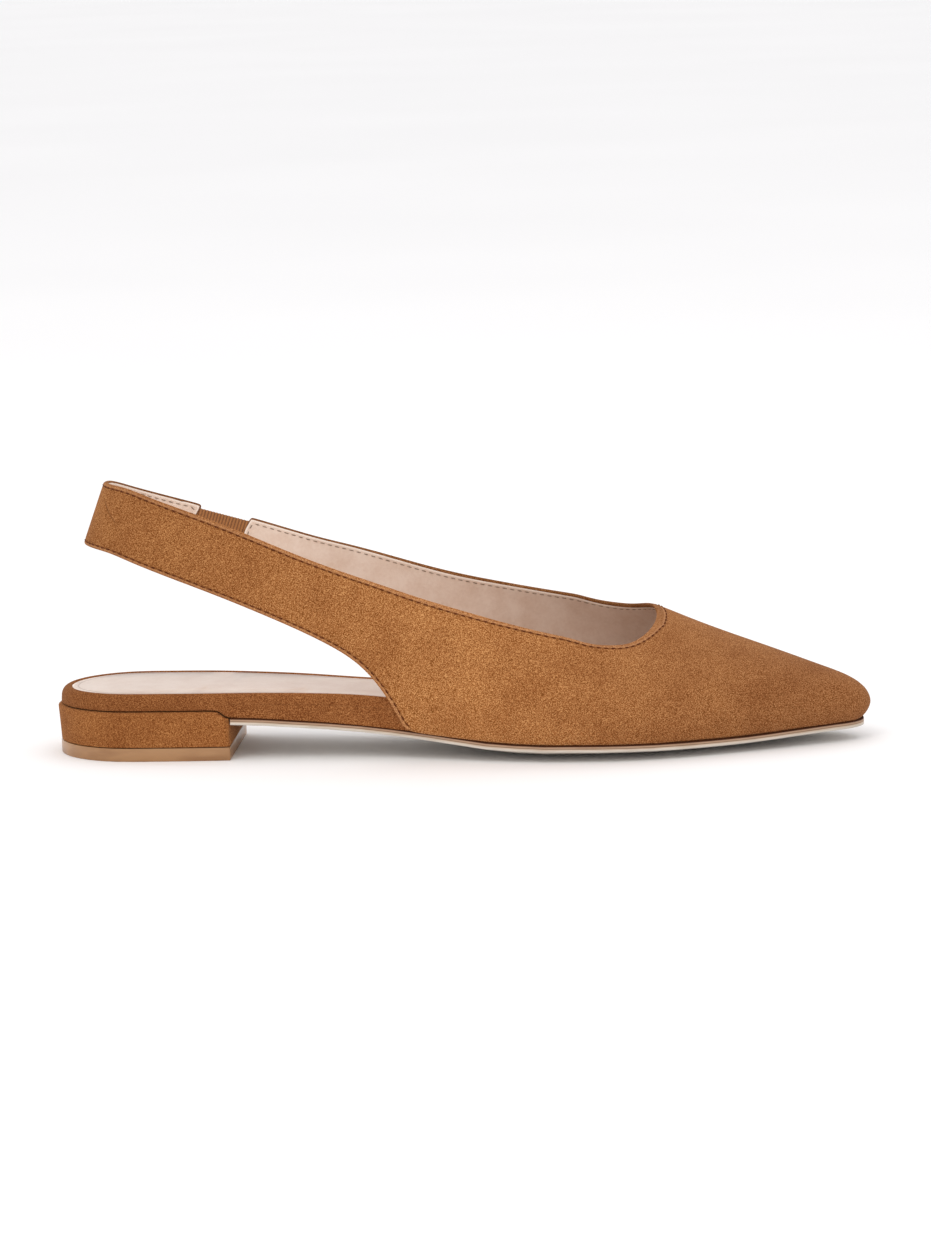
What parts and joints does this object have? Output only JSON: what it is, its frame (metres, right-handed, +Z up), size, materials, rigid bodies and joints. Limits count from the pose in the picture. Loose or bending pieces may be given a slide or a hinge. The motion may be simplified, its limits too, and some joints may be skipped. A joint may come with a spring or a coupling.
{
  "type": "sling back flat shoe",
  "caption": "Pointed sling back flat, right shoe: suede upper with a heel strap and elastic gore, leather sock and sole, low covered block heel with a rubber lift.",
  "frame": {"origin": "on the floor under the middle of the heel's top lift", "axes": "+X from the heel to the toe, +Y to the big toe side, +Z up"},
  "size_m": [0.2674, 0.0783, 0.0889],
  "materials": {
    "suede": "napped",
    "sock": "satin",
    "sole_leather": "satin",
    "lift_rubber": "satin",
    "elastic": "ribbed"
  },
  "bodies": {
    "root": {"upper": "suede", "elastic_gore": "elastic", "footbed": "suede", "insole": "sock", "outsole": "sole_leather", "heel": "suede", "top_lift": "lift_rubber"}
  },
  "joints": []
}
